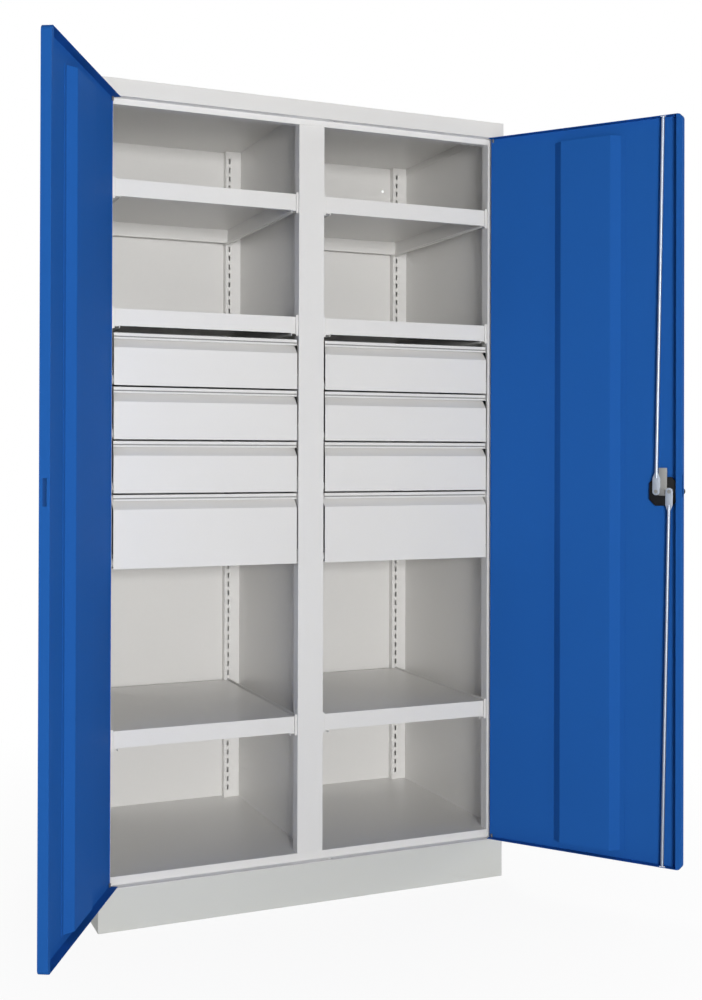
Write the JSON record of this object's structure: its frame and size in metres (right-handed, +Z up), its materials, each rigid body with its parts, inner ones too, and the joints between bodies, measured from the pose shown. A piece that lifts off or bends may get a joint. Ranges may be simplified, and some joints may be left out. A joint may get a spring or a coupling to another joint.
{
  "type": "storage cabinet",
  "caption": "Tall steel storage cabinet on a plinth, with open wing doors, a divided interior of shelves and drawers, and a rod lock in the right door.",
  "frame": {"origin": "middle of the plinth's footprint, on the floor", "axes": "+X to the cabinet's right seen from the front, +Y from the doors to the back, +Z up"},
  "size_m": [1.5562, 1.041, 1.95],
  "materials": {
    "body_enamel": "satin",
    "plinth_enamel": "satin",
    "door_enamel": "satin",
    "drawer_enamel": "satin",
    "zinc_steel": "zinc plated",
    "black_plastic": "matte",
    "white_nylon": "matte"
  },
  "bodies": {
    "carcass": {"plinth": "plinth_enamel", "plinth_bolts": "zinc_steel", "floor_panel": "body_enamel", "roof_panel": "body_enamel", "back_panel": "body_enamel", "partition_wall": "body_enamel", "centre_post": "body_enamel", "hinge_pins": "zinc_steel", "runner_rollers": "white_nylon", "side_panel_left": "body_enamel", "rear_uprights_left": "body_enamel", "shelf_rails_left": "body_enamel", "drawer_runners_left": "zinc_steel", "shelf_upper_left": "body_enamel", "shelf_middle_left": "body_enamel", "shelf_lower_left": "body_enamel", "side_panel_right": "body_enamel", "rear_uprights_right": "body_enamel", "shelf_rails_right": "body_enamel", "drawer_runners_right": "zinc_steel", "shelf_upper_right": "body_enamel", "shelf_middle_right": "body_enamel", "shelf_lower_right": "body_enamel"},
    "door_left": {"door_left": "door_enamel", "door_stiffener_left": "door_enamel"},
    "door_right": {"door_right": "door_enamel", "door_stiffener_right": "door_enamel", "lock_case": "black_plastic", "lock_rosette": "black_plastic"},
    "lock": {"lock_cam": "zinc_steel", "lock_handle": "black_plastic", "lock_cylinder": "zinc_steel"},
    "rod_upper": {"rod_upper": "zinc_steel"},
    "rod_lower": {"rod_lower": "zinc_steel"},
    "drawer_left_1": {"drawer_front_left_1": "body_enamel", "drawer_box_left_1": "drawer_enamel", "drawer_slides_left_1": "zinc_steel"},
    "drawer_left_2": {"drawer_front_left_2": "body_enamel", "drawer_box_left_2": "drawer_enamel", "drawer_slides_left_2": "zinc_steel"},
    "drawer_left_3": {"drawer_front_left_3": "body_enamel", "drawer_box_left_3": "drawer_enamel", "drawer_slides_left_3": "zinc_steel"},
    "drawer_left_4": {"drawer_front_left_4": "body_enamel", "drawer_box_left_4": "drawer_enamel", "drawer_slides_left_4": "zinc_steel"},
    "drawer_right_1": {"drawer_front_right_1": "body_enamel", "drawer_box_right_1": "drawer_enamel", "drawer_slides_right_1": "zinc_steel"},
    "drawer_right_2": {"drawer_front_right_2": "body_enamel", "drawer_box_right_2": "drawer_enamel", "drawer_slides_right_2": "zinc_steel"},
    "drawer_right_3": {"drawer_front_right_3": "body_enamel", "drawer_box_right_3": "drawer_enamel", "drawer_slides_right_3": "zinc_steel"},
    "drawer_right_4": {"drawer_front_right_4": "body_enamel", "drawer_box_right_4": "drawer_enamel", "drawer_slides_right_4": "zinc_steel"}
  },
  "joints": [
    {"name": "door_left_hinge", "type": "hinge", "parent": "carcass", "child": "door_left", "pos_m": [-0.497, -0.2955, 1], "axis": [0, 0, -1], "range_deg": [-118, 12]},
    {"name": "door_right_hinge", "type": "hinge", "parent": "carcass", "child": "door_right", "pos_m": [0.497, -0.2955, 1], "axis": [0, 0, 1], "range_deg": [-127, 3]},
    {"name": "lock_turn", "type": "hinge", "parent": "door_right", "child": "lock", "pos_m": [0.76152, -0.6565, 1.003], "axis": [0.7986, 0.6018, 0], "range_deg": [0, 90]},
    {"name": "rod_upper_pivot", "type": "hinge", "parent": "lock", "child": "rod_upper", "pos_m": [0.75189, -0.64372, 1.003], "axis": [0.7986, 0.6018, 0], "range_deg": [-91.11, 0.1]},
    {"name": "rod_lower_pivot", "type": "hinge", "parent": "lock", "child": "rod_lower", "pos_m": [0.77115, -0.66928, 1.003], "axis": [0.7986, 0.6018, 0], "range_deg": [-91.12, 0.1]},
    {"name": "drawer_left_1_slide", "type": "slide", "parent": "carcass", "child": "drawer_left_1", "axis": [0, -1, 0], "range_m": [0, 0.4]},
    {"name": "drawer_left_2_slide", "type": "slide", "parent": "carcass", "child": "drawer_left_2", "axis": [0, -1, 0], "range_m": [0, 0.4]},
    {"name": "drawer_left_3_slide", "type": "slide", "parent": "carcass", "child": "drawer_left_3", "axis": [0, -1, 0], "range_m": [0, 0.4]},
    {"name": "drawer_left_4_slide", "type": "slide", "parent": "carcass", "child": "drawer_left_4", "axis": [0, -1, 0], "range_m": [0, 0.4]},
    {"name": "drawer_right_1_slide", "type": "slide", "parent": "carcass", "child": "drawer_right_1", "axis": [0, -1, 0], "range_m": [0, 0.4]},
    {"name": "drawer_right_2_slide", "type": "slide", "parent": "carcass", "child": "drawer_right_2", "axis": [0, -1, 0], "range_m": [0, 0.4]},
    {"name": "drawer_right_3_slide", "type": "slide", "parent": "carcass", "child": "drawer_right_3", "axis": [0, -1, 0], "range_m": [0, 0.4]},
    {"name": "drawer_right_4_slide", "type": "slide", "parent": "carcass", "child": "drawer_right_4", "axis": [0, -1, 0], "range_m": [0, 0.4]}
  ],
  "couplings": [
    {"joint": "rod_upper_pivot", "follows": "lock_turn", "ratio": -1.0113},
    {"joint": "rod_lower_pivot", "follows": "lock_turn", "ratio": -1.0113}
  ]
}
